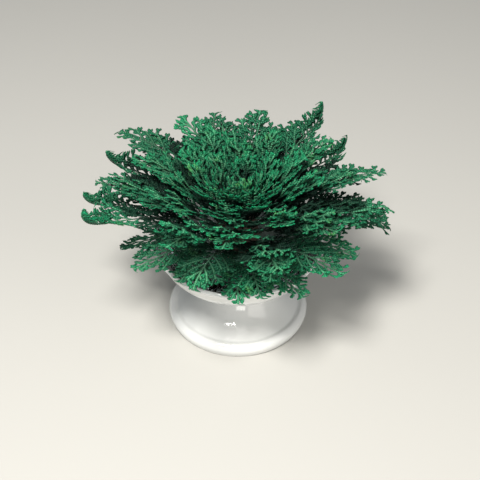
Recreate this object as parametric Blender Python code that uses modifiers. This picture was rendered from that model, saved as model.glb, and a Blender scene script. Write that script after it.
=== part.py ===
"""A rose of Jericho, open and green, standing in a white footed bowl. Metres, +Z up.

The origin is on the bowl's axis, on the surface that the foot stands on.
The rosette is a spiral of flat fronds round a short woody crown. Each frond lies in its own
dished surface, and the surfaces are nested, so no frond crosses another.
"""

import math
import random

import bmesh
import bpy
from mathutils import Vector

MM = 0.001
GAP = 0.3 * MM

# The bowl, measured from the surface that it stands on
RIM_RADIUS = 60 * MM
RIM_HEIGHT = 68 * MM
FOOT_RADIUS = 51 * MM
FLOOR_HEIGHT = 39 * MM
WALL = 3.2 * MM
BOWL_STEPS = 28

# The water in it, with a plain hole where the roots stand
WATER_LEVEL = 57 * MM
ROOT_HOLE_RADIUS = 17 * MM

# The woody crown and its roots
CROWN_TOP = 90 * MM
CROWN_BOTTOM = 60 * MM
CROWN_RADIUS = 15 * MM
CROWN_STEPS = 16
ROOTS = 8
ROOT_THICKNESS = 1.8 * MM

# The rosette
SEED = 11
SPIRAL_FRONDS = 52
LOW_FRONDS = [(240, 1.037), (269, 1.08), (298, 1.04), (345, 1.0)]
FRONDS = SPIRAL_FRONDS + len(LOW_FRONDS)
GOLDEN_ANGLE = math.radians(137.508)
FIRST_AZIMUTH = math.radians(20)
BLADE_THICKNESS = 0.8 * MM
RIB_WIDTH = 2.2 * MM
PATH_STEPS = 60
PINNAE = 6
HEART_FRONDS = 8

# From the innermost frond to the outermost: share of the way out, then the value there
START_RADIUS = [(0, 7.4), (0.3, 12.6), (0.6, 15.6), (1, 16.0), (1.1, 15.8)]
START_HEIGHT = [(0, 90.8), (0.3, 87.8), (0.6, 82.5), (1, 72.1), (1.1, 69.3)]
ROOT_PITCH = [(0, 76), (0.25, 61), (0.5, 48), (0.75, 34), (1, 11), (1.1, 10.8)]
FAR_PITCH = [(0, 36), (0.25, 18), (0.5, 5), (0.75, -3), (1, -22), (1.1, -36)]
LENGTH = [(0, 34), (0.25, 54), (0.5, 80), (0.75, 99), (0.9, 97), (1, 84), (1.1, 76)]
WIDTH = [(0, 20), (0.25, 32), (0.5, 42), (0.75, 46), (1, 42)]
FAR = 100 * MM

# Fronds that stand out from the rule, by their place in the spiral: how far the tip rolls up in
# degrees, the share of the usual length, degrees to turn round the crown, and the share of the width
CURLED = {29: 130, 42: 118, 35: 120, 38: 150, 43: 140, 39: -38, 41: -40, 27: -12, 34: 10, 47: -28, 53: -8}
REACH = {
    19: 1.2, 27: 1.3, 29: 1.34, 35: 1.08, 37: 1.05, 38: 1.1, 39: 0.97, 40: 1.1, 41: 0.9, 42: 1.06,
    43: 1.12, 44: 0.9, 45: 0.86, 46: 0.86, 47: 0.98, 49: 0.84, 50: 0.94, 51: 0.78, 52: 0.8, 53: 0.8,
    54: 0.84, 55: 0.86,
}
TURNED = {
    41: -4, 40: 7, 32: 5, 19: 6, 27: 9, 29: 4, 42: 8, 39: -3, 47: -4, 38: 2, 51: -4,
}
NARROW = {
    27: 0.85, 29: 0.55, 34: 0.75, 35: 0.8, 38: 0.85, 42: 0.8, 43: 0.9, 51: 0.88, 52: 0.86, 54: 0.88,
    55: 0.86,
}


def between(keys, share):
    """The value at a share of the way along a list of (share, value) keys."""
    for (low, first), (high, second) in zip(keys, keys[1:]):
        if share <= high:
            return first + (second - first) * (share - low) / (high - low)
    return keys[-1][1]


def material(name, colour, roughness, metallic=0.0, alpha=1.0):
    made = bpy.data.materials.new(name)
    made.use_nodes = True
    shader = made.node_tree.nodes["Principled BSDF"]
    shader.inputs["Base Color"].default_value = (*colour, 1)
    shader.inputs["Roughness"].default_value = roughness
    shader.inputs["Metallic"].default_value = metallic
    shader.inputs["Alpha"].default_value = alpha
    return made


def new_object(name, mesh, collection, finish=None):
    made = bpy.data.objects.new(name, mesh)
    collection.objects.link(made)
    if finish:
        mesh.materials.append(finish)
    return made


def turned(name, profile, steps, collection, finish, closed=False):
    """A solid turned round Z from (radius, height) points, which run down its outer side."""
    mesh = bpy.data.meshes.new(name)
    edges = [(i, i + 1) for i in range(len(profile) - 1)]
    if closed:
        edges.append((len(profile) - 1, 0))
    mesh.from_pydata([(radius, 0, height) for radius, height in profile], edges, [])
    made = new_object(name, mesh, collection, finish)
    screw = made.modifiers.new("Turn", "SCREW")
    screw.steps = steps
    screw.render_steps = steps
    screw.use_merge_vertices = True
    screw.merge_threshold = 0.00005
    screw.use_smooth_shade = True
    return made


def bowl_inside():
    """The inside of the bowl, from the middle of its floor up to the lip."""
    floor = FLOOR_HEIGHT
    rise = RIM_HEIGHT - floor
    keys = [(0, 0), (0.3, 0.03), (0.5, 0.12), (0.7, 0.33), (0.83, 0.56), (0.91, 0.78), (0.945, 0.95)]
    return [(RIM_RADIUS * out, floor + rise * up) for out, up in keys]


def bowl_outline():
    """The whole section of the bowl: inside, lip, outer side, foot ring and the hollow under the foot."""
    lip = [
        (RIM_RADIUS - 0.6 * WALL, RIM_HEIGHT),
        (RIM_RADIUS, RIM_HEIGHT - 0.4 * WALL),
        (RIM_RADIUS - 0.6 * WALL, RIM_HEIGHT - 1.3 * WALL),
    ]
    outer_side = [
        (54 * MM, 55 * MM),
        (46 * MM, 46 * MM),
        (34 * MM, 39 * MM),
        (25 * MM, 34.5 * MM),
        (23.5 * MM, 29 * MM),
        (27 * MM, 22 * MM),
        (34 * MM, 15.5 * MM),
        (42 * MM, 10.8 * MM),
        (FOOT_RADIUS - 6.5 * MM, 9.6 * MM),
        (FOOT_RADIUS - 3.5 * MM, 9.8 * MM),
        (FOOT_RADIUS - 0.6 * MM, 7.2 * MM),
        (FOOT_RADIUS, 4 * MM),
        (FOOT_RADIUS - 1.5 * MM, 0),
    ]
    under_foot = [
        (FOOT_RADIUS - 5 * MM, 0),
        (FOOT_RADIUS - 7 * MM, 4 * MM),
        (38 * MM, 8.5 * MM),
        (29 * MM, 13.5 * MM),
        (22 * MM, 20 * MM),
        (18.5 * MM, 28 * MM),
        (12 * MM, 33.5 * MM),
        (0, 35 * MM),
    ]
    return bowl_inside() + lip + outer_side + under_foot


def make_bowl(collection):
    glaze = material("white glaze", (0.86, 0.86, 0.83), 0.12)
    return turned("footed_bowl", bowl_outline(), BOWL_STEPS, collection, glaze)


def make_water(collection):
    """The water lies 0.3 mm inside the bowl, round a plain hole for the roots."""
    clear = material("water", (0.8, 0.88, 0.86), 0.02, alpha=0.35)
    wet = []
    for radius, height in bowl_inside():
        if radius > ROOT_HOLE_RADIUS + 2 * GAP and height < WATER_LEVEL:
            wet.append((radius - GAP, height + 1.5 * GAP))
    surface = [(ROOT_HOLE_RADIUS, WATER_LEVEL), (wet[-1][0], WATER_LEVEL)]
    profile = surface + wet[::-1] + [(ROOT_HOLE_RADIUS, wet[0][1])]
    return turned("water", profile, BOWL_STEPS, collection, clear, closed=True)


def crown_profile():
    """The crown's outer side, from its top down."""
    height = CROWN_TOP - CROWN_BOTTOM
    keys = [(0, 1), (0.45, 0.975), (0.8, 0.86), (0.97, 0.66), (1, 0.42), (0.86, 0.2), (0.5, 0.04), (0, 0)]
    return [(CROWN_RADIUS * out, CROWN_BOTTOM + height * up) for out, up in keys]


def root_path(index):
    """One root, from inside the crown down through the water and along the floor."""
    turn = 2 * math.pi * index / ROOTS
    lowest = FLOOR_HEIGHT + 0.5 * ROOT_THICKNESS + 1.2 * MM
    points = []
    for step in range(7):
        share = step / 6
        radius = 5 * MM + 8.5 * MM * share ** 0.8
        height = max(lowest, CROWN_BOTTOM + 4 * MM - 24 * MM * share ** 0.9)
        angle = turn + 0.7 * share + 0.25 * math.sin(5 * share + 2 * index)
        points.append(Vector((radius * math.cos(angle), radius * math.sin(angle), height)))
    return points


def meshed_tube(name, points, thickness, collection):
    """A tube along the points, as a closed mesh that a Boolean can join."""
    curve = bpy.data.curves.new(name, "CURVE")
    curve.dimensions = "3D"
    curve.bevel_depth = thickness / 2
    curve.bevel_resolution = 0
    curve.use_fill_caps = True
    spline = curve.splines.new("POLY")
    spline.points.add(len(points) - 1)
    for place, point in zip(spline.points, points):
        place.co = (*point, 1)
    guide = bpy.data.objects.new(name, curve)
    collection.objects.link(guide)
    bpy.context.view_layer.update()
    mesh = bpy.data.meshes.new_from_object(guide.evaluated_get(bpy.context.evaluated_depsgraph_get()))
    welded = bmesh.new()
    welded.from_mesh(mesh)
    bmesh.ops.remove_doubles(welded, verts=welded.verts, dist=0.00001)
    welded.to_mesh(mesh)
    welded.free()
    tube = bpy.data.objects.new(name, mesh)
    tube.matrix_world = guide.matrix_world
    bpy.data.objects.remove(guide)
    collection.objects.link(tube)
    return tube


def join_all(body, collection):
    """Joins everything in the collection to the body for good, and clears the collection."""
    union = body.modifiers.new("Join", "BOOLEAN")
    union.operation = "UNION"
    union.solver = "MANIFOLD"
    union.operand_type = "COLLECTION"
    union.collection = collection
    bpy.context.view_layer.update()
    joined = bpy.data.meshes.new_from_object(body.evaluated_get(bpy.context.evaluated_depsgraph_get()))
    body.modifiers.clear()
    body.data = joined
    for helper in list(collection.objects):
        bpy.data.objects.remove(helper)


def make_crown(collection, helpers):
    bark = material("brown crown", (0.16, 0.09, 0.05), 0.85)
    crown = turned("crown", crown_profile(), CROWN_STEPS, collection, bark)
    for index in range(ROOTS):
        meshed_tube(f"root_{index}", root_path(index), ROOT_THICKNESS, helpers)
    join_all(crown, helpers)
    return crown


def lean_of_rosette(point):
    """Bends the whole rosette a little, so that it is wider than it is deep and its rim isn't level."""
    radius = math.hypot(point.x, point.y)
    turn = math.atan2(point.y, point.x)
    out = min(max((radius - 16 * MM) / (45 * MM), 0.0), 1.0)
    out = out * out * (3 - 2 * out)
    wave = 2.2 * math.sin(2 * turn + 0.6) + 1.8 * math.sin(3 * turn + 2.1)
    return Vector((point.x, point.y * (1 - 0.13 * out), point.z + out * (0.015 * point.x + wave * MM)))


class Frond:
    """Where one frond of the rosette runs, and how its blade bends."""

    def __init__(self, index):
        draw = random.Random(SEED * 1000 + index)
        if index < SPIRAL_FRONDS:
            share = index / (SPIRAL_FRONDS - 1)
            turn = FIRST_AZIMUTH + index * GOLDEN_ANGLE
        else:
            degrees, share = LOW_FRONDS[index - SPIRAL_FRONDS]
            turn = math.radians(degrees)
        self.share = share
        self.azimuth = turn + math.radians(draw.uniform(-3, 3) + TURNED.get(index, 0))
        front = max(0.0, -math.sin(self.azimuth))
        self.length = between(LENGTH, share) * MM * draw.uniform(0.95, 1.07)
        self.length *= 1 - 0.06 * share * front
        self.length *= REACH.get(index, 1.0)
        self.width = between(WIDTH, share) * MM * draw.uniform(0.92, 1.08) * NARROW.get(index, 1.0)
        self.lift = math.radians(draw.uniform(-1, 1))
        if index >= SPIRAL_FRONDS:
            self.lift = 0.0
        self.sweep = math.radians(draw.uniform(-7, 7))
        self.curl = math.radians(CURLED.get(index, draw.uniform(0, 25)))
        start = (between(START_RADIUS, share) * MM, between(START_HEIGHT, share) * MM)
        self.trace(start, between(ROOT_PITCH, share), between(FAR_PITCH, share))

    def trace(self, start, root_pitch, far_pitch):
        """Walks along the frond's middle line in small steps, and keeps its radius, height and pitch."""
        radius, height = start
        root_pitch = math.radians(root_pitch)
        far_pitch = math.radians(far_pitch)
        step = self.length / PATH_STEPS
        self.path = []
        for count in range(PATH_STEPS + 1):
            out = min(count * step / FAR, 1.0)
            late = max(0.0, (count / PATH_STEPS - 0.72) / 0.28)
            pitch = root_pitch + (far_pitch - root_pitch) * out * out * (3 - 2 * out)
            pitch += self.lift * min(1.0, 4 * out) + self.curl * late * late
            self.path.append((radius, height, pitch))
            radius += step * math.cos(pitch)
            height += step * math.sin(pitch)

    def place(self, along, aside, above=0.0):
        """The point this far along the middle line, to its side and above the blade."""
        share = min(max(along / self.length, 0.0), 1.0)
        low = min(int(share * PATH_STEPS), PATH_STEPS - 1)
        mix = share * PATH_STEPS - low
        here, there = self.path[low], self.path[low + 1]
        radius, height, pitch = (a + (b - a) * mix for a, b in zip(here, there))
        angle = self.azimuth + self.sweep * share * share + math.atan2(aside, radius)
        radius -= above * math.sin(pitch)
        height += above * math.cos(pitch)
        return lean_of_rosette(Vector((radius * math.cos(angle), radius * math.sin(angle), height)))

    def half_width(self, share):
        """Half the blade's width at this share of its length, which is widest before the middle."""
        share = (share - 0.08) / 0.92
        if share <= 0:
            return 0.0
        return 0.5 * self.width * math.sin(math.pi * share ** 0.72) ** 0.8


class HeartFrond(Frond):
    """One of the youngest fronds, which stand up in the middle of the rosette."""

    def __init__(self, index):
        share = (index + 0.5) / HEART_FRONDS
        self.azimuth = FIRST_AZIMUTH - (index + 1) * GOLDEN_ANGLE
        self.length = (20 + 9 * share) * MM
        self.width = (9 + 4 * share) * MM
        self.lift = 0.0
        self.sweep = 0.1
        self.curl = -0.2
        self.trace(((1.2 + 3.2 * share) * MM, 92.5 * MM), 88 - 7 * share, 75 - 20 * share)


def frond_outline(frond, pinnae):
    """Points (along, aside) and triangles of a frond's flat outline, with forked pinnae cut to the rib."""
    points = []
    faces = []
    first = 0.1 * frond.length
    last = 0.93 * frond.length
    spacing = (last - first) / pinnae
    chains = {}
    for side in (-1, 1):
        shift = 0.0 if side < 0 else 0.5 * spacing
        chain = [len(points)]
        points.append((0.0, side * RIB_WIDTH / 2))
        for count in range(pinnae + 1):
            along = first + count * spacing + shift * (1 if count < pinnae else 0)
            chain.append(len(points))
            points.append((along, side * RIB_WIDTH / 2 * (1 - 0.45 * along / frond.length)))
        chains[side] = chain
        for count in range(1, pinnae + 1):
            add_pinna(frond, points, faces, chain[count], chain[count + 1], side)
    tip = len(points)
    points.append((frond.length, 0.0))
    left, right = chains[-1], chains[1]
    for low in range(pinnae + 1):
        faces.append((left[low], left[low + 1], right[low]))
        faces.append((right[low], left[low + 1], right[low + 1]))
    faces.append((left[-1], tip, right[-1]))
    return points, faces


def add_pinna(frond, points, faces, low, high, side):
    """One forked pinna that grows from the rib between two of its points."""
    base_low, base_high = points[low], points[high]
    middle = 0.5 * (base_low[0] + base_high[0])
    share = middle / frond.length
    lean = math.radians(60 - 26 * share)
    reach = max(frond.half_width(min(1.0, share + 0.1)), 3 * MM) / math.sin(lean)
    width = 0.9 * (base_high[0] - base_low[0])
    forward = Vector((math.cos(lean), side * math.sin(lean)))
    ahead = Vector((math.sin(lean), -side * math.cos(lean)))
    root = Vector((middle, side * RIB_WIDTH / 2))
    numbers = []
    for out, over in ((0.62, -0.4), (0.92, -0.3), (0.7, 0.05), (1.0, 0.3)):
        place = root + forward * reach * out + ahead * width * over
        numbers.append(len(points))
        points.append((place.x, place.y))
    lower, first_tip, notch, second_tip = numbers
    made = [(low, lower, notch), (lower, first_tip, notch), (low, notch, high), (notch, second_tip, high)]
    faces.extend(made if side < 0 else [face[::-1] for face in made])


def blade(name, frond, pinnae, collection, finish):
    """A thin arched blade in the frond's outline, split into the same triangles on both faces."""
    points, faces = frond_outline(frond, pinnae)
    sheet = bmesh.new()
    corners = [sheet.verts.new(frond.place(*point)) for point in points]
    for face in faces:
        sheet.faces.new([corners[number] for number in face])
    bmesh.ops.recalc_face_normals(sheet, faces=sheet.faces)
    mesh = bpy.data.meshes.new(name)
    sheet.to_mesh(mesh)
    sheet.free()
    made = new_object(name, mesh, collection, finish)
    shell = made.modifiers.new("Thickness", "SOLIDIFY")
    shell.thickness = BLADE_THICKNESS
    shell.offset = 0
    return made


def make_heart(collection, helpers, green):
    """The youngest fronds, joined where they grow from a small bud on top of the crown."""
    keys = [(0, 99), (2.6, 98.2), (4.6, 95.6), (5.2, 93), (4.6, 91), (0, 90.6)]
    bud = turned("heart", [(radius * MM, height * MM) for radius, height in keys], 10, collection, green)
    for index in range(HEART_FRONDS):
        blade(f"young_{index}", HeartFrond(index), 3, helpers, green)
    join_all(bud, helpers)


def make_fronds(collection, green):
    for index in range(FRONDS):
        pinnae = PINNAE - 1 if index < FRONDS / 4 else PINNAE
        blade(f"frond_{index + 1:02d}", Frond(index), pinnae, collection, green)


def new_collection(name):
    made = bpy.data.collections.new(name)
    bpy.context.scene.collection.children.link(made)
    return made


def main():
    for old in list(bpy.data.objects):
        bpy.data.objects.remove(old)
    plant = new_collection("rose_of_jericho")
    helpers = new_collection("helpers")
    make_bowl(plant)
    make_water(plant)
    make_crown(plant, helpers)
    green = material("green frond", (0.02, 0.2, 0.09), 0.55)
    make_heart(plant, helpers, green)
    make_fronds(plant, green)


main()
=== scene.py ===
"""The look of the rose of Jericho in its footed bowl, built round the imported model."""

import math
import random
from collections import namedtuple

import bpy
import numpy as np
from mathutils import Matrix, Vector


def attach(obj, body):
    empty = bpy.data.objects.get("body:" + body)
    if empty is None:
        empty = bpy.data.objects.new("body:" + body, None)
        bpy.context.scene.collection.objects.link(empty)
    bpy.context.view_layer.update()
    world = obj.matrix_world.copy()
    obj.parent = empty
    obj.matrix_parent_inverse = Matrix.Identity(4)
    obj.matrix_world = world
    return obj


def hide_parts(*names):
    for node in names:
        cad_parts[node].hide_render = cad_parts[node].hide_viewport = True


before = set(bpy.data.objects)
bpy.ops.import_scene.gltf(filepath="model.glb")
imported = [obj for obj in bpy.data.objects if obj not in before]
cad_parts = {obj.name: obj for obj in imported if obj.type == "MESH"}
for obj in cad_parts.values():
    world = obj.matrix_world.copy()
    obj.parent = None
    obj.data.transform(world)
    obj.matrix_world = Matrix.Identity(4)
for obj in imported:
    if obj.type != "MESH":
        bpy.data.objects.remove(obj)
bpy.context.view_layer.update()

MM = 0.001

# The same sizes and rules as the part's own source
RIM_RADIUS = 60 * MM
RIM_HEIGHT = 68 * MM
FOOT_RADIUS = 51 * MM
FLOOR_HEIGHT = 39 * MM
WALL = 3.2 * MM
WATER_LEVEL = 57 * MM
CROWN_TOP = 90 * MM
CROWN_BOTTOM = 60 * MM
CROWN_RADIUS = 15 * MM
SEED = 11
SPIRAL_FRONDS = 52
LOW_FRONDS = [(240, 1.037), (269, 1.08), (298, 1.04), (345, 1.0)]
FRONDS = SPIRAL_FRONDS + len(LOW_FRONDS)
GOLDEN_ANGLE = math.radians(137.508)
FIRST_AZIMUTH = math.radians(20)
PATH_STEPS = 60
HEART_FRONDS = 8
START_RADIUS = [(0, 7.4), (0.3, 12.6), (0.6, 15.6), (1, 16.0), (1.1, 15.8)]
START_HEIGHT = [(0, 90.8), (0.3, 87.8), (0.6, 82.5), (1, 72.1), (1.1, 69.3)]
ROOT_PITCH = [(0, 76), (0.25, 61), (0.5, 48), (0.75, 34), (1, 11), (1.1, 10.8)]
FAR_PITCH = [(0, 36), (0.25, 18), (0.5, 5), (0.75, -3), (1, -22), (1.1, -36)]
LENGTH = [(0, 34), (0.25, 54), (0.5, 80), (0.75, 99), (0.9, 97), (1, 84), (1.1, 76)]
WIDTH = [(0, 20), (0.25, 32), (0.5, 42), (0.75, 46), (1, 42)]
FAR = 100 * MM

# Fronds that stand out from the rule, by their place in the spiral: how far the tip rolls up in
# degrees, the share of the usual length, degrees to turn round the crown, and the share of the width
CURLED = {
    29: 130, 42: 118, 35: 120, 38: 150, 43: 140, 39: -38, 41: -40, 27: -12, 34: 10, 47: -28, 53: -8,
}
REACH = {
    19: 1.2, 27: 1.3, 29: 1.34, 35: 1.08, 37: 1.05, 38: 1.1, 39: 0.97, 40: 1.1, 41: 0.9, 42: 1.06,
    43: 1.12, 44: 0.9, 45: 0.86, 46: 0.86, 47: 0.98, 49: 0.84, 50: 0.94, 51: 0.78, 52: 0.8, 53: 0.8,
    54: 0.84, 55: 0.86,
}
TURNED = {
    41: -4, 40: 7, 32: 5, 19: 6, 27: 9, 29: 4, 42: 8, 39: -3, 47: -4, 38: 2, 51: -4,
}
NARROW = {
    27: 0.85, 29: 0.55, 34: 0.75, 35: 0.8, 38: 0.85, 42: 0.8, 43: 0.9, 51: 0.88, 52: 0.86, 54: 0.88,
    55: 0.86,
}

# The fine build of a frond: rows of scale pairs along forking branchlets of four kinds
RACHIS, PINNA, LOBE, FORK = range(4)
FROND_SEED = 300
HEART_SEED = 900
INNER_PINNAE = 5
OUTER_PINNAE = 7
HEART_PINNAE = 3
RACHIS_HALF_WIDTH = 1.2 * MM
TWIG_HALF_WIDTH = 1.1 * MM
LOBE_HALF_WIDTH = 1.22 * MM
ROUND_END = 1.5 * MM
EDGE_STEP = 0.5 * MM
LONGEST_PINNA = 60 * MM
SHORTEST_PINNA = 3 * MM
LOBE_STEP = 2.4 * MM
FIRST_LOBE = 3.5 * MM
LONGEST_LOBE = 6.6 * MM
SHORTEST_LOBE = 2.6 * MM
FORKED_FROM = 4.6 * MM
EDGE_RISE = 0.9 * MM

# Lobes of the inner fronds lean this share as far out, up to this share of the way out
YOUNG_SPREAD = 0.72
YOUNG_TO = 0.45

# A tip that rolls up by more degrees than this ends in a fist of small pinnae, which is cupped
FIST_FROM = 60
FIST_PINNAE = 14
FIST_CUP = 0.9
FIST_NARROWS = 0.35

# Millimetres that a spray lifts off the blade, and how many more at the very front
SPRAY_RISE = 4.0
SPRAY_RISE_FRONT = 6.0
SPRAY_PINNA_STEP = 4.6 * MM

# One scale pair: its ring as shares of its length and half width, how many millimetres the ring
# rises towards the tip and drops towards the sides, and where its peak lies
SCALE_RING = np.array([[-0.3, 0], [0.22, 1.0], [0.7, 0.66], [0.86, 0], [0.7, -0.66], [0.22, -1.0]])
RING = len(SCALE_RING)
SCALE_STEP = 1.6 * MM
SCALE_LENGTH = 2.4 * MM
SCALE_THICKNESS = 0.62 * MM
TIP_RISE = 0.32
SIDE_DROP = 0.16
PEAK = 0.18

# Painted shade: the roof over a point is looked for this many cells round it, and darkens it over a range
# of depths
ROOF_CELL = 1.5 * MM
ROOF_MARGIN = 3
ROOF_SHIFTS = [
    (-2, 0), (2, 0), (0, -2), (0, 2), (-1, -1), (1, 1), (-1, 1), (1, -1), (0, -3), (-2, -2), (2, -2),
]
SHADE_FROM = 1.2 * MM
SHADE_FULL = 14 * MM
SHADE_STRENGTH = [(0, 0.95), (0.65, 0.95), (0.85, 0.25), (1, 0.05)]

# Painted shade: the outer fronds at the sides and the back are darkened below the rest
SIDE_SHADE_FROM = 22
SIDE_PAINTED_SHADE = 0.72
FRONT_FROM = 0.4

# Brightness and warmth of the greens that the fronds take in turn
GREENS = [(1.0, 0.0), (0.85, 0.0), (1.12, 0.004), (0.92, 0.012), (1.2, 0.0)]
GREEN_STEP = 3

# The smooth bowl, water and crown
BOWL_STEPS = 128
WATER_STEPS = 96
STUMP_STEPS = 72
ON_AXIS = 0.001 * MM
WATER_LIFT = 0.45 * MM
WIRY_ROOTS = 46
ROOT_SEED = 5
ROOT_STEPS = 14
ROOT_SIDES = 6
ASKEW = (0.31, 0.52, 0.79)

# A Mix node's sockets for colours
MIX_FIRST = 6
MIX_SECOND = 7
MIX_RESULT = 2

# Half the width of the floor, in metres, and the point that the lights face
STAGE_HALF = 3
LIT_POINT = (0, 0, 0.08)

# Each light's name, place, size, power and colour
LIGHTS = [
    ("key", (-0.2, -0.45, 1.05), 0.28, 20, (1.0, 0.98, 0.94)),
    ("fill", (0.9, -0.7, 0.6), 0.9, 4, (1.0, 0.95, 0.9)),
    ("front", (0.15, -1.1, 0.3), 0.5, 4, (1.0, 0.97, 0.92)),
]
SKY_COLOUR = (0.9, 0.95, 1.0, 1)
SKY_STRENGTH = 0.3

# The camera, with the shift that centres the picture as the photograph does
CAMERA_RISE = math.radians(40)
CAMERA_DISTANCE = 0.8
CAMERA_LENS = 85
AIM_HEIGHT = 70 * MM
PICTURE_PIXELS = 480
SHIFT_RIGHT_PIXELS = 2
SHIFT_UP_PIXELS = -3.5

Row = namedtuple("Row", "along aside above heading half_width share depth scale")
Foliage = namedtuple("Foliage", "points faces tone")


def between(keys, share):
    """The value at a share of the way along a list of (share, value) keys."""
    for (low, first), (high, second) in zip(keys, keys[1:]):
        if share <= high:
            return first + (second - first) * (share - low) / (high - low)
    return keys[-1][1]


def lean_of_rosette(points):
    """Bends the whole rosette a little, as the part's source does."""
    x, y, z = points.T
    radius = np.hypot(x, y)
    turn = np.arctan2(y, x)
    out = np.clip((radius - 16 * MM) / (45 * MM), 0, 1)
    out = out * out * (3 - 2 * out)
    wave = 2.2 * np.sin(2 * turn + 0.6) + 1.8 * np.sin(3 * turn + 2.1)
    return np.stack([x, y * (1 - 0.13 * out), z + out * (0.015 * x + wave * MM)], 1)


class Frond:
    """Where one frond of the rosette runs, as in the part's source, and which fine forms it has."""

    def __init__(self, index):
        draw = random.Random(SEED * 1000 + index)
        if index < SPIRAL_FRONDS:
            share = index / (SPIRAL_FRONDS - 1)
            turn = FIRST_AZIMUTH + index * GOLDEN_ANGLE
        else:
            degrees, share = LOW_FRONDS[index - SPIRAL_FRONDS]
            turn = math.radians(degrees)
        self.share = share
        self.azimuth = turn + math.radians(draw.uniform(-3, 3) + TURNED.get(index, 0))
        self.near = -math.sin(self.azimuth)
        self.length = between(LENGTH, share) * MM * draw.uniform(0.95, 1.07)
        self.length *= 1 - 0.06 * share * max(0.0, self.near)
        self.length *= REACH.get(index, 1.0)
        self.width = between(WIDTH, share) * MM * draw.uniform(0.92, 1.08) * NARROW.get(index, 1.0)
        self.lift = math.radians(draw.uniform(-1, 1))
        if index >= SPIRAL_FRONDS:
            self.lift = 0.0
        self.sweep = math.radians(draw.uniform(-7, 7))
        self.curl = math.radians(CURLED.get(index, draw.uniform(0, 25)))
        self.fist = CURLED.get(index, 0) > FIST_FROM
        self.sprays = self.spray_count(index)
        start = (between(START_RADIUS, share) * MM, between(START_HEIGHT, share) * MM)
        self.trace(start, between(ROOT_PITCH, share), between(FAR_PITCH, share))

    def spray_count(self, index):
        """The outermost and the narrow fronds have no sprays, and those at the front have the most."""
        if self.share > 0.8 or index in NARROW:
            return 0
        return 2 if self.near < 0.1 or self.share < 0.1 else 5

    def trace(self, start, root_pitch, far_pitch):
        """Walks along the frond's middle line in small steps, and keeps its radius, height and pitch."""
        radius, height = start
        root_pitch = math.radians(root_pitch)
        far_pitch = math.radians(far_pitch)
        step = self.length / PATH_STEPS
        path = []
        for count in range(PATH_STEPS + 1):
            out = min(count * step / FAR, 1.0)
            late = max(0.0, (count / PATH_STEPS - 0.72) / 0.28)
            pitch = root_pitch + (far_pitch - root_pitch) * out * out * (3 - 2 * out)
            pitch += self.lift * min(1.0, 4 * out) + self.curl * late * late
            path.append((radius, height, pitch))
            radius += step * math.cos(pitch)
            height += step * math.sin(pitch)
        self.path = np.array(path)

    def place(self, flat):
        """The points for rows of (along, aside, above), all in metres."""
        along, aside, above = flat.T
        share = np.clip(along / self.length, 0, 1)
        steps = np.arange(PATH_STEPS + 1) / PATH_STEPS
        radius, height, pitch = (np.interp(share, steps, column) for column in self.path.T)
        angle = self.azimuth + self.sweep * share * share + np.arctan2(aside, radius)
        radius = radius - above * np.sin(pitch)
        height = height + above * np.cos(pitch)
        return lean_of_rosette(np.stack([radius * np.cos(angle), radius * np.sin(angle), height], 1))

    def half_width(self, share):
        """Half the blade's width at this share of its length, which is widest before the middle."""
        share = (share - 0.08) / 0.92
        if share <= 0 or share >= 1:
            return 0.0
        return 0.5 * self.width * math.sin(math.pi * share ** 0.72) ** 0.8


class HeartFrond(Frond):
    """One of the youngest fronds, which stand up in the middle of the rosette."""

    def __init__(self, index):
        share = (index + 0.5) / HEART_FRONDS
        self.share = 0.0
        self.azimuth = FIRST_AZIMUTH - (index + 1) * GOLDEN_ANGLE
        self.length = (20 + 9 * share) * MM
        self.width = (9 + 4 * share) * MM
        self.lift = 0.0
        self.sweep = 0.1
        self.curl = -0.2
        self.fist = False
        self.sprays = 0
        self.trace(((1.2 + 3.2 * share) * MM, 92.5 * MM), 88 - 7 * share, 75 - 20 * share)


# The network of branchlets in a frond's flat frame, each a list of rows


def width_along(share, depth):
    """The share of its half width that a branchlet has here. A rachis tapers, a lobe is club-shaped."""
    if depth == RACHIS:
        return 1 - 0.3 * share
    if depth == PINNA:
        return 0.9 + 0.2 * share * share
    return 0.8 + 0.42 * share


def twig(start, heading, bend, length, half_width, rise, depth):
    """One branchlet, as rows of scale pairs along a bending line with a round end."""
    count = max(3, int(round(length / SCALE_STEP)))
    rows = []
    along, aside = start
    cap = min(0.5 * length, ROUND_END)
    for step in range(count + 1):
        share = step / count
        angle = heading + bend * share
        left = (1 - share) * length
        wide = half_width * width_along(share, depth)
        scale = SCALE_LENGTH
        if left < cap:
            wide *= math.sqrt(max(0.2, 1 - (1 - left / cap) ** 2))
            scale *= 0.45 + 0.55 * left / cap
        rows.append(Row(along, aside, rise * share * share, angle, wide, share, depth, scale))
        along += length / count * math.cos(angle)
        aside += length / count * math.sin(angle)
    return rows


def at(rows, share):
    """The row of a twig nearest to this share of the way along it."""
    return rows[min(len(rows) - 1, int(round(share * (len(rows) - 1))))]


def raised(rows, low, high):
    """The rows lifted off the blade, from one height at the twig's foot to another at its tip."""
    return [row._replace(above=row.above + low + (high - low) * row.share ** 1.5) for row in rows]


def reach_to_edge(frond, along, lean):
    """How long a side branch has to be to end on the blade's outline."""
    length = 0.0
    while length < LONGEST_PINNA:
        share = (along + length * math.cos(lean)) / frond.length
        if share >= 1 or (share > 0.15 and length * math.sin(lean) > frond.half_width(share)):
            break
        length += EDGE_STEP
    return length


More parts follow.
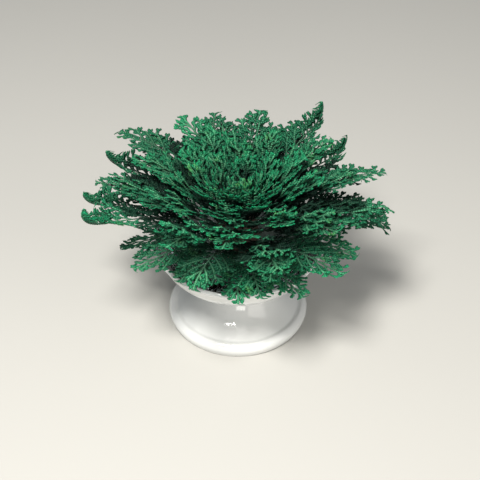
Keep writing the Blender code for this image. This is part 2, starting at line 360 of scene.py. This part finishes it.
def lobes_of(pinna, side, room, reach, spread, draw):
    """The club-shaped lobes on both sides of a pinna, the longest of them forked."""
    rows = []
    place = min(0.3, FIRST_LOBE / reach)
    while place < 0.99:
        foot = at(pinna, place)
        size = min(room * (0.74 + 0.42 * place), LONGEST_LOBE) * draw.uniform(0.86, 1.12)
        size = max(SHORTEST_LOBE, min(size, 0.8 * reach))
        heading = foot.heading + side * spread * math.radians(draw.uniform(36, 46) - 12 * place)
        lobe = twig(foot[:2], heading, -side * 0.34, size, LOBE_HALF_WIDTH, 0.0, LOBE)
        tip = foot.above + draw.uniform(-0.5, 1.0) * MM
        rows += raised(lobe, foot.above, tip)
        if size > FORKED_FROM:
            fork = at(lobe, 0.4)
            heading = fork.heading + side * draw.uniform(0.6, 0.85)
            short = twig(fork[:2], heading, -side * 0.35, size * 0.52, 0.9 * LOBE_HALF_WIDTH, 0.0, FORK)
            rows += raised(short, fork.above + foot.above, tip)
        place += LOBE_STEP / reach
        side = -side
    return rows


def end_pinna(frond, draw, spread):
    """The pinna that goes on from the end of the rachis."""
    reach = 0.13 * frond.length
    start = (0.86 * frond.length, 0.0)
    pinna = twig(start, 0.0, draw.uniform(-0.15, 0.15), reach, TWIG_HALF_WIDTH, 0.0, PINNA)
    return pinna + lobes_of(pinna, 1, 6 * MM, reach, spread, draw)


def fist_pinnae(frond, draw, spread):
    """The small, crowded pinnae of a tip that has rolled up."""
    rows = []
    for number in range(FIST_PINNAE):
        side = -1 if number % 2 else 1
        lean = math.radians(58 - 1.5 * number)
        reach = (8.5 - 0.3 * number) * MM
        start = ((0.66 + 0.022 * number) * frond.length, 0.0)
        rise = draw.uniform(1, 4) * MM
        pinna = twig(start, side * lean, -side * 0.5, reach, TWIG_HALF_WIDTH, rise, PINNA)
        rows += pinna + lobes_of(pinna, side, 5 * MM, reach, spread, draw)
    return rows


def side_pinnae(frond, draw, spread, pinnae):
    """The pinnae on both sides of the rachis, which end near the blade's outline, in two layers."""
    rows = []
    first = (0.05 if frond.share < 0.3 else 0.2) * frond.length
    last = 0.9 * frond.length
    spacing = (last - first) / pinnae
    layer = draw.choice((-1, 1))
    for count in range(2 * pinnae):
        side = -1 if count % 2 else 1
        along = first + (count // 2 + (0.5 if side > 0 else 0.0)) * spacing
        share = along / frond.length
        lean = math.radians(49 - 20 * share + draw.uniform(-4, 4))
        reach = reach_to_edge(frond, along, lean * 0.9) * draw.uniform(0.86, 1.08)
        if reach < SHORTEST_PINNA:
            continue
        layer = -layer if count % 2 else layer
        rise = (layer * draw.uniform(0.5, 2.2) + 1.2) * MM * min(1.0, reach / (22 * MM))
        pinna = twig((along, 0.0), side * lean, -side * 0.24, reach, TWIG_HALF_WIDTH, rise, PINNA)
        rows += pinna + lobes_of(pinna, side, spacing * math.sin(lean), reach, spread, draw)
    return rows


def spray(frond, number, draw, spread):
    """A branch with pinnae on both sides, that lifts off the blade towards its tip."""
    side = -1 if number % 2 else 1
    along = (0.2 + 0.5 * number / frond.sprays) * frond.length * draw.uniform(0.9, 1.1)
    length = (0.4 - 0.12 * number / frond.sprays) * frond.length * draw.uniform(0.9, 1.1)
    rise = (SPRAY_RISE + SPRAY_RISE_FRONT * max(0.0, frond.near)) * draw.uniform(0.7, 1.4) * MM
    lean = side * draw.uniform(0.15, 0.42)
    stem = twig((along, side * 0.5 * MM), lean, -1.2 * lean, length, TWIG_HALF_WIDTH, rise, PINNA)
    rows = list(stem)
    count = int(length / SPRAY_PINNA_STEP)
    for step in range(1, count + 1):
        share = step / (count + 0.5)
        foot = at(stem, share)
        side = 1 if step % 2 else -1
        reach = 0.36 * length * (1 - share) + 4.5 * MM
        heading = foot.heading + side * math.radians(50 - 18 * share)
        pinna = twig(foot[:2], heading, -side * 0.3, reach, TWIG_HALF_WIDTH, 0.0, PINNA)
        pinna = raised(pinna, foot.above, foot.above + draw.uniform(-0.5, 1.8) * MM)
        rows += pinna + lobes_of(pinna, side, 5.2 * MM, reach, spread, draw)
    return rows


def network(frond, draw, pinnae):
    """All the branchlets of one frond: the rachis, its pinnae and sprays, and their lobes."""
    spread = YOUNG_SPREAD if frond.share < YOUNG_TO else 1.0
    rows = twig((0.0, 0.0), 0.0, 0.0, frond.length * 0.88, RACHIS_HALF_WIDTH, 0.0, RACHIS)
    rows += end_pinna(frond, draw, spread)
    if frond.fist:
        rows += fist_pinnae(frond, draw, spread)
    rows += side_pinnae(frond, draw, spread, pinnae)
    for number in range(frond.sprays):
        rows += spray(frond, number, draw, spread)
    return np.array(rows)


# Scales along the branchlets. Each point's tone is red towards tips, green on the ridges, blue for painted
# shade where it lies under other foliage, and its alpha rises with the depth of its branchlet in the
# network


def scale_faces(count):
    """Triangles of this many scale pairs, each a closed lens: a ring of points, a top and a bottom."""
    ring = np.arange(RING)
    after = (ring + 1) % RING
    top = np.stack([ring, after, np.full(RING, RING)], 1)
    bottom = np.stack([after, ring, np.full(RING, RING + 1)], 1)
    one = np.concatenate([bottom, top])[:, ::-1]
    return (one[None] + (np.arange(count) * (RING + 2))[:, None, None]).reshape(-1, 3)


def scale_points(rows):
    """Flat points of each row's scale pair, and their tones but for the blue."""
    along, aside, above, angle, half, share, depth, scale = rows.T
    forward = np.stack([np.cos(angle), np.sin(angle)], 1)
    sideways = np.stack([-np.sin(angle), np.cos(angle)], 1)
    centre = np.stack([along, aside], 1)
    ring = (
        centre[:, None]
        + forward[:, None] * (SCALE_RING[None, :, 0] * scale[:, None])[..., None]
        + sideways[:, None] * SCALE_RING[:, 1][None, :, None] * half[:, None, None]
    )
    slope = SCALE_RING[:, 0] * TIP_RISE * MM - np.abs(SCALE_RING[:, 1]) * SIDE_DROP * MM
    height = above[:, None] + slope[None]
    rims = np.concatenate([ring, height[..., None]], 2)
    peak = centre + forward * PEAK * scale[:, None]
    tops = np.concatenate([peak, (above + 0.75 * SCALE_THICKNESS)[:, None]], 1)
    lows = np.concatenate([peak, (above - 0.6 * SCALE_THICKNESS)[:, None]], 1)
    points = np.concatenate([rims, tops[:, None], lows[:, None]], 1)
    tone = np.zeros((*points.shape[:2], 4))
    tone[..., 0] = (share * (depth > RACHIS))[:, None]
    tone[:, RING, 1] = 1.0
    tone[..., 3] = depth[:, None] / FORK
    return points.reshape(-1, 3), tone.reshape(-1, 4)


def frond_mesh(frond, seed, pinnae):
    """The scales of one frond, with its edges raised and a rolled tip cupped."""
    rows = network(frond, random.Random(seed), pinnae)
    flat, tone = scale_points(rows)
    # Darker towards the frond's base: partly its older growth, partly painted shade on the inner parts
    # that other fronds cover
    towards_base = np.clip(1 - flat[:, 0] / frond.length, 0, 1)
    tone[:, 0] = np.clip(0.45 * tone[:, 0] + 0.55 * (1 - towards_base), 0, 1)
    late = frond.fist * np.clip((flat[:, 0] / frond.length - 0.62) / 0.3, 0, 1)
    aside = np.abs(flat[:, 1])
    flat[:, 2] += EDGE_RISE * (aside / (0.5 * frond.width)) ** 2 + FIST_CUP * late * aside
    flat[:, 1] *= 1 - FIST_NARROWS * late
    return Foliage(frond.place(flat), scale_faces(len(rows)), tone)


def shade_under(clouds):
    """How far each cloud's points lie under the foliage round them, for painted shade: 0 in the open, 1
    well below it.
    """
    points = np.concatenate(clouds)
    where = np.floor(points[:, :2] / ROOF_CELL).astype(int)
    where -= where.min(0) - ROOF_MARGIN
    roof = np.full(where.max(0) + ROOF_MARGIN + 1, -1.0)
    np.maximum.at(roof, (where[:, 0], where[:, 1]), points[:, 2])
    wide = roof.copy()
    for shift in ROOF_SHIFTS:
        wide = np.maximum(wide, np.roll(roof, shift, (0, 1)))
    below = wide[where[:, 0], where[:, 1]] - points[:, 2]
    share = np.clip((below - SHADE_FROM) / (SHADE_FULL - SHADE_FROM), 0, 1)
    return np.split(share, np.cumsum([len(cloud) for cloud in clouds])[:-1])


# Objects and meshes


def added(name, data):
    """A new object in the scene."""
    made = bpy.data.objects.new(name, data)
    bpy.context.scene.collection.objects.link(made)
    return made


def mesh_from(name, points, faces, finish, tone=None):
    """An object of triangles, with a tone for each point where one is given."""
    mesh = bpy.data.meshes.new(name)
    mesh.vertices.add(len(points))
    mesh.vertices.foreach_set("co", points.astype(np.float32).ravel())
    mesh.loops.add(len(faces) * 3)
    mesh.loops.foreach_set("vertex_index", faces.astype(np.int32).ravel())
    mesh.polygons.add(len(faces))
    mesh.polygons.foreach_set("loop_start", np.arange(0, len(faces) * 3, 3, dtype=np.int32))
    mesh.polygons.foreach_set("loop_total", np.full(len(faces), 3, dtype=np.int32))
    mesh.update(calc_edges=True)
    if tone is not None:
        layer = mesh.color_attributes.new("tone", "FLOAT_COLOR", "POINT")
        layer.data.foreach_set("color", tone.astype(np.float32).ravel())
    mesh.materials.append(finish)
    return added(name, mesh)


def joined(meshes):
    """The points and faces of several meshes as one."""
    starts = np.cumsum([0] + [len(mesh[0]) for mesh in meshes[:-1]])
    points = np.concatenate([mesh[0] for mesh in meshes])
    faces = np.concatenate([mesh[1] + start for mesh, start in zip(meshes, starts)])
    return points, faces


def smooth(mesh):
    mesh.polygons.foreach_set("use_smooth", [True] * len(mesh.polygons))


def smooth_profile(points, samples):
    """A smooth line through (radius, height) points, with this many steps between each two."""
    ends = np.array([points[0]] + list(points) + [points[-1]], float)
    line = []
    for p, q, r, s in zip(ends, ends[1:], ends[2:], ends[3:]):
        for step in range(samples):
            x = step / samples
            curve = 2 * q + (r - p) * x
            curve = curve + (2 * p - 5 * q + 4 * r - s) * x * x + (3 * q - p - 3 * r + s) * x ** 3
            line.append(tuple(0.5 * curve))
    return line + [tuple(points[-1])]


def turned(name, profile, steps, finish):
    """A smooth solid turned round Z from (radius, height) points."""
    rings = []
    points = []
    for radius, height in profile:
        if radius < ON_AXIS:
            rings.append([len(points)] * steps)
            points.append((0.0, 0.0, height))
        else:
            rings.append(list(range(len(points), len(points) + steps)))
            turn = [2 * math.pi * step / steps for step in range(steps)]
            points.extend((radius * math.cos(a), radius * math.sin(a), height) for a in turn)
    faces = []
    for upper, lower in zip(rings, rings[1:]):
        for step in range(steps):
            after = (step + 1) % steps
            corners = [upper[step], lower[step], lower[after], upper[after]]
            face = list(dict.fromkeys(corners))
            if len(face) > 2:
                faces.append(face)
    mesh = bpy.data.meshes.new(name)
    mesh.from_pydata(points, [], faces)
    mesh.update()
    smooth(mesh)
    mesh.materials.append(finish)
    return added(name, mesh)


def tube_mesh(points, radii, sides):
    """Points and faces of a closed tube along these points."""
    points = np.array(points)
    ahead = np.gradient(points, axis=0)
    ahead /= np.linalg.norm(ahead, axis=1, keepdims=True)
    side = np.cross(ahead, ASKEW)
    side /= np.linalg.norm(side, axis=1, keepdims=True)
    up = np.cross(ahead, side)
    turn = 2 * np.pi * np.arange(sides) / sides
    ring = side[:, None] * np.cos(turn)[None, :, None] + up[:, None] * np.sin(turn)[None, :, None]
    rings = points[:, None] + ring * np.array(radii)[:, None, None]
    faces = []
    for row in range(len(points) - 1):
        for step in range(sides):
            here = row * sides + step
            after = row * sides + (step + 1) % sides
            faces.append((here, after, after + sides))
            faces.append((here, after + sides, here + sides))
    last = (len(points) - 1) * sides
    for step in range(1, sides - 1):
        faces.append((0, step + 1, step))
        faces.append((last, last + step, last + step + 1))
    return rings.reshape(-1, 3), np.array(faces)


# Materials


def new_material(name):
    made = bpy.data.materials.new(name)
    made.use_nodes = True
    nodes = made.node_tree.nodes
    return made, nodes, made.node_tree.links, nodes["Principled BSDF"]


def ramp(nodes, links, factor, stops):
    """The colour between (place, colour) stops, by a factor."""
    made = nodes.new("ShaderNodeValToRGB")
    links.new(factor, made.inputs["Fac"])
    for number, (place, colour) in enumerate(stops):
        stop = made.color_ramp.elements[number] if number < 2 else made.color_ramp.elements.new(place)
        stop.position = place
        stop.color = (*colour, 1)
    return made.outputs["Color"]


def mix_colour(nodes, links, factor, first, second):
    """The colour between two colours or outputs, by a factor."""
    made = nodes.new("ShaderNodeMix")
    made.data_type = "RGBA"
    links.new(factor, made.inputs[0])
    for socket, value in ((made.inputs[MIX_FIRST], first), (made.inputs[MIX_SECOND], second)):
        if isinstance(value, bpy.types.NodeSocket):
            links.new(value, socket)
        else:
            socket.default_value = (*value, 1)
    return made.outputs[MIX_RESULT]


def maths(nodes, links, what, *values, clamp=False):
    """The result of a Math node on numbers or outputs."""
    made = nodes.new("ShaderNodeMath")
    made.operation = what
    made.use_clamp = clamp
    for socket, value in zip(made.inputs, values):
        if isinstance(value, bpy.types.NodeSocket):
            links.new(value, socket)
        else:
            socket.default_value = value
    return made.outputs[0]


def noise(nodes, links, scale, detail):
    place = nodes.new("ShaderNodeTexCoord")
    made = nodes.new("ShaderNodeTexNoise")
    made.inputs["Scale"].default_value = scale
    made.inputs["Detail"].default_value = detail
    links.new(place.outputs["Object"], made.inputs["Vector"])
    return made.outputs["Fac"]


def roughen(nodes, links, shader, height, strength, distance):
    """Gives the shader a fine relief."""
    bump = nodes.new("ShaderNodeBump")
    bump.inputs["Strength"].default_value = strength
    bump.inputs["Distance"].default_value = distance
    links.new(height, bump.inputs["Height"])
    links.new(bump.outputs["Normal"], shader.inputs["Normal"])


def frond_material(name, shade, warmth):
    """Green scales: sage along the stems, saturated on the lobes, brighter at tips, with painted shade
    under foliage.
    """
    made, nodes, links, shader = new_material(name)
    tone = nodes.new("ShaderNodeAttribute")
    tone.attribute_name = "tone"
    split = nodes.new("ShaderNodeSeparateColor")
    links.new(tone.outputs["Color"], split.inputs["Color"])
    # Both ramps darken towards the base: partly older growth, partly painted shade on the covered inner
    # parts
    lobe_stops = [
        (0.0, (0.006, 0.03, 0.018)),
        (0.25, (0.001, 0.065, 0.03)),
        (0.6, (0.0, 0.13 * shade, 0.05 * shade)),
        (1.0, (warmth, 0.32 * shade, 0.122 * shade)),
    ]
    stem_stops = [
        (0.0, (0.06, 0.055, 0.03)),
        (0.3, (0.05, 0.11, 0.065)),
        (0.65, (0.13, 0.45 * shade, 0.225 * shade)),
    ]
    patch_colour = (0.002, 0.05, 0.03)
    ridge_colour = (0.07, 0.3, 0.15)
    fresh_colour = (0.1, 0.3, 0.07)
    shade_colour = (0.001, 0.006, 0.005)
    lobes = ramp(nodes, links, split.outputs["Red"], lobe_stops)
    stems = ramp(nodes, links, split.outputs["Red"], stem_stops)
    lobe = maths(nodes, links, "MULTIPLY_ADD", tone.outputs["Alpha"], 2.2, -0.5, clamp=True)
    colour = mix_colour(nodes, links, lobe, stems, lobes)
    blotches = noise(nodes, links, scale=60.0, detail=3.0)
    patch = maths(nodes, links, "MULTIPLY", blotches, 0.8, clamp=True)
    colour = mix_colour(nodes, links, patch, colour, patch_colour)
    ridge = maths(nodes, links, "MULTIPLY", split.outputs["Green"], 0.25)
    colour = mix_colour(nodes, links, ridge, colour, ridge_colour)
    tip = maths(nodes, links, "POWER", split.outputs["Red"], 3.0)
    speckle = noise(nodes, links, scale=75.0, detail=2.0)
    spot = maths(nodes, links, "MULTIPLY_ADD", speckle, 9.0, -5.6, clamp=True)
    fresh = maths(nodes, links, "MULTIPLY", tip, spot)
    colour = mix_colour(nodes, links, fresh, colour, fresh_colour)
    # Painted shade: the colour goes nearly black where the point lies under other foliage
    painted_shade = maths(nodes, links, "MULTIPLY", split.outputs["Blue"], 0.95)
    colour = mix_colour(nodes, links, painted_shade, colour, shade_colour)
    links.new(colour, shader.inputs["Base Color"])
    shader.inputs["Roughness"].default_value = 0.5
    shader.inputs["Specular IOR Level"].default_value = 0.2
    return made


def glaze_material():
    made, nodes, links, shader = new_material("white_glaze")
    cloud = noise(nodes, links, scale=14.0, detail=3.0)
    colour = mix_colour(nodes, links, cloud, (0.6, 0.615, 0.61), (0.67, 0.67, 0.645))
    links.new(colour, shader.inputs["Base Color"])
    waves = noise(nodes, links, scale=55.0, detail=2.0)
    roughen(nodes, links, shader, waves, strength=0.06, distance=0.6 * MM)
    shader.inputs["Roughness"].default_value = 0.1
    shader.inputs["Coat Weight"].default_value = 0.6
    shader.inputs["Coat Roughness"].default_value = 0.04
    return made


def water_material():
    made, nodes, links, shader = new_material("clear_water")
    shader.inputs["Base Color"].default_value = (0.9, 0.97, 0.95, 1)
    shader.inputs["Transmission Weight"].default_value = 1.0
    shader.inputs["Roughness"].default_value = 0.02
    shader.inputs["IOR"].default_value = 1.33
    ripples = noise(nodes, links, scale=30.0, detail=1.0)
    roughen(nodes, links, shader, ripples, strength=0.05, distance=0.5 * MM)
    return made


def bark_material():
    made, nodes, links, shader = new_material("brown_fibres")
    fibres = noise(nodes, links, scale=220.0, detail=5.0)
    # Very dark browns: partly the crown's own colour, partly painted shade so that it sinks into the gap
    # among the fronds
    colour = mix_colour(nodes, links, fibres, (0.012, 0.009, 0.006), (0.07, 0.045, 0.026))
    links.new(colour, shader.inputs["Base Color"])
    grain = noise(nodes, links, scale=500.0, detail=4.0)
    roughen(nodes, links, shader, grain, strength=0.8, distance=0.8 * MM)
    shader.inputs["Roughness"].default_value = 0.85
    return made


# The bowl, the water and the crown


def bowl_inside():
    """The inside of the bowl, from the middle of its floor up to the lip."""
    rise = RIM_HEIGHT - FLOOR_HEIGHT
    keys = [(0, 0), (0.3, 0.03), (0.5, 0.12), (0.7, 0.33), (0.83, 0.56), (0.91, 0.78), (0.945, 0.95)]
    return [(RIM_RADIUS * out, FLOOR_HEIGHT + rise * up) for out, up in keys]


def bowl_outline():
    """The whole section of the bowl: inside, lip, outer side, foot ring and the hollow under the foot."""
    lip = [
        (RIM_RADIUS - 0.6 * WALL, RIM_HEIGHT),
        (RIM_RADIUS, RIM_HEIGHT - 0.4 * WALL),
        (RIM_RADIUS - 0.6 * WALL, RIM_HEIGHT - 1.3 * WALL),
    ]
    outer_side = [
        (54 * MM, 55 * MM),
        (46 * MM, 46 * MM),
        (34 * MM, 39 * MM),
        (25 * MM, 34.5 * MM),
        (23.5 * MM, 29 * MM),
        (27 * MM, 22 * MM),
        (34 * MM, 15.5 * MM),
        (42 * MM, 10.8 * MM),
        (FOOT_RADIUS - 6.5 * MM, 9.6 * MM),
        (FOOT_RADIUS - 3.5 * MM, 9.8 * MM),
        (FOOT_RADIUS - 0.6 * MM, 7.2 * MM),
        (FOOT_RADIUS, 4 * MM),
        (FOOT_RADIUS - 1.5 * MM, 0),
    ]
    under_foot = [
        (FOOT_RADIUS - 5 * MM, 0),
        (FOOT_RADIUS - 7 * MM, 4 * MM),
        (38 * MM, 8.5 * MM),
        (29 * MM, 13.5 * MM),
        (22 * MM, 20 * MM),
        (18.5 * MM, 28 * MM),
        (12 * MM, 33.5 * MM),
        (0, 35 * MM),
    ]
    upper = smooth_profile(bowl_inside() + lip + outer_side, samples=4)
    return upper + smooth_profile(under_foot, samples=4)


def make_bowl():
    made = turned("bowl_glazed", bowl_outline(), BOWL_STEPS, glaze_material())
    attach(made, "root")
    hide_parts("footed_bowl")


def make_water():
    """The water, just inside the bowl, with its surface drawn up a little at the edge."""
    wet = []
    for radius, height in smooth_profile(bowl_inside(), samples=3):
        if height + WATER_LIFT < WATER_LEVEL - 0.6 * MM:
            wet.append((max(0.0, radius - 0.3 * MM), height + WATER_LIFT))
    edge = wet[-1][0] + 0.8 * MM
    surface = [
        (0.0, WATER_LEVEL - 0.35 * MM),
        (edge - 2.5 * MM, WATER_LEVEL - 0.3 * MM),
        (edge, WATER_LEVEL),
    ]
    made = turned("water_surface", surface + wet[::-1], WATER_STEPS, water_material())
    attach(made, "root")
    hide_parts("water")


def crown_profile():
    """The crown's outer side, from its top down."""
    height = CROWN_TOP - CROWN_BOTTOM
    keys = [(0, 1), (0.45, 0.975), (0.8, 0.86), (0.97, 0.66), (1, 0.42), (0.86, 0.2), (0.5, 0.04), (0, 0)]
    return [(CROWN_RADIUS * out, CROWN_BOTTOM + height * up) for out, up in keys]


def furrow(mesh):
    """Presses winding furrows into the side of the crown."""
    points = np.empty(len(mesh.vertices) * 3)
    mesh.vertices.foreach_get("co", points)
    points = points.reshape(-1, 3)
    turn = np.arctan2(points[:, 1], points[:, 0])
    coarse = 0.03 * np.sin(9 * turn + points[:, 2] * 700)
    fine = 0.02 * np.sin(17 * turn - points[:, 2] * 1100)
    points[:, :2] *= ((1 + coarse + fine) * 0.97)[:, None]
    mesh.vertices.foreach_set("co", points.ravel())
    mesh.update()


def wiry_root(draw, index):
    """One root, from inside the crown down through the water and along the floor."""
    turn = 2 * math.pi * index / WIRY_ROOTS + draw.uniform(-0.1, 0.1)
    reach = draw.uniform(7.5, 10.5) * MM
    depth = draw.uniform(17, 24) * MM
    wander = draw.uniform(0.3, 1.0)
    points = []
    for step in range(ROOT_STEPS + 1):
        share = step / ROOT_STEPS
        radius = 4.5 * MM + reach * share ** 0.8
        height = max(FLOOR_HEIGHT + 2.2 * MM, CROWN_BOTTOM + 4 * MM - depth * share ** 0.9)
        angle = turn + wander * share + 0.2 * math.sin(6 * share + 2 * index)
        points.append((radius * math.cos(angle), radius * math.sin(angle), height))
    thick = draw.uniform(0.28, 0.62) * MM
    radii = [thick * (1 - 0.6 * step / ROOT_STEPS) for step in range(ROOT_STEPS + 1)]
    return tube_mesh(points, radii, ROOT_SIDES)


def make_crown():
    """The woody crown with its furrows, and its wiry roots down through the water."""
    bark = bark_material()
    profile = smooth_profile(crown_profile(), samples=6)
    stump = turned("crown_stump", profile, STUMP_STEPS, bark)
    furrow(stump.data)
    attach(stump, "root")
    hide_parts("crown")
    draw = random.Random(ROOT_SEED)
    points, faces = joined([wiry_root(draw, index) for index in range(WIRY_ROOTS)])
    roots = mesh_from("crown_roots", points, faces, bark)
    smooth(roots.data)
    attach(roots, "root")


# The rosette


def make_fronds():
    """Each frond, and the heart as one piece, in fine scales with painted shade where other foliage lies
    over them.
    """
    finishes = [frond_material(f"green_scales_{number}", *green) for number, green in enumerate(GREENS)]
    fronds = [Frond(index) for index in range(FRONDS)]
    meshes = []
    for index, frond in enumerate(fronds):
        pinnae = INNER_PINNAE if index < FRONDS / 4 else OUTER_PINNAE
        meshes.append(frond_mesh(frond, FROND_SEED + index, pinnae))
    hearts = [HeartFrond(index) for index in range(HEART_FRONDS)]
    young = [frond_mesh(heart, HEART_SEED + index, HEART_PINNAE) for index, heart in enumerate(hearts)]
    meshes.append(Foliage(*joined(young), np.concatenate([mesh.tone for mesh in young])))
    names = [(f"scaly_frond_{number:02d}", f"frond_{number:02d}") for number in range(1, FRONDS + 1)]
    names.append(("young_fronds", "heart"))
    painted_shade = shade_under([mesh.points for mesh in meshes])
    for index, (mesh, (name, replaced)) in enumerate(zip(meshes, names)):
        # Painted shade from the foliage over each point, weaker on the outer fronds
        mesh.tone[:, 2] = between(SHADE_STRENGTH, index / FRONDS) * painted_shade[index]
        # Painted shade on the outer fronds at the sides and the back
        if SIDE_SHADE_FROM < index < SPIRAL_FRONDS and fronds[index].near < FRONT_FROM:
            mesh.tone[:, 0] *= SIDE_PAINTED_SHADE
        finish = finishes[index * GREEN_STEP % len(GREENS)]
        made = mesh_from(name, mesh.points, mesh.faces, finish, mesh.tone)
        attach(made, "root")
        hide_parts(replaced)


# The floor, the lights and the camera


def make_floor():
    made, nodes, links, shader = new_material("pale_floor")
    shader.inputs["Base Color"].default_value = (0.46, 0.45, 0.42, 1)
    shader.inputs["Roughness"].default_value = 0.9
    mesh = bpy.data.meshes.new("floor")
    corners = [(STAGE_HALF * x, STAGE_HALF * y, 0) for x, y in ((-1, -1), (1, -1), (1, 1), (-1, 1))]
    mesh.from_pydata(corners, [], [(0, 1, 2, 3)])
    mesh.materials.append(made)
    floor = added("floor", mesh)


def make_lights():
    for name, place, size, power, colour in LIGHTS:
        light = bpy.data.lights.new(name, "AREA")
        light.size = size
        light.energy = power
        light.color = colour
        made = added(name, light)
        made.location = place
        made.rotation_euler = (Vector(LIT_POINT) - Vector(place)).to_track_quat("-Z", "Y").to_euler()
    world = bpy.data.worlds.new("studio")
    world.use_nodes = True
    sky = world.node_tree.nodes["Background"]
    sky.inputs["Color"].default_value = SKY_COLOUR
    sky.inputs["Strength"].default_value = SKY_STRENGTH
    bpy.context.scene.world = world


def make_camera():
    lens = bpy.data.cameras.new("camera")
    lens.lens = CAMERA_LENS
    lens.sensor_width = 36
    lens.shift_x = SHIFT_RIGHT_PIXELS / PICTURE_PIXELS
    lens.shift_y = SHIFT_UP_PIXELS / PICTURE_PIXELS
    lens.clip_start = 0.05
    camera = added("camera", lens)
    out = CAMERA_DISTANCE * math.cos(CAMERA_RISE)
    camera.location = (0, -out, AIM_HEIGHT + CAMERA_DISTANCE * math.sin(CAMERA_RISE))
    camera.rotation_euler = (math.pi / 2 - CAMERA_RISE, 0, 0)
    bpy.context.scene.camera = camera


make_bowl()
make_water()
make_crown()
make_fronds()
make_floor()
make_lights()
make_camera()

bpy.context.scene.view_settings.view_transform = "Standard"
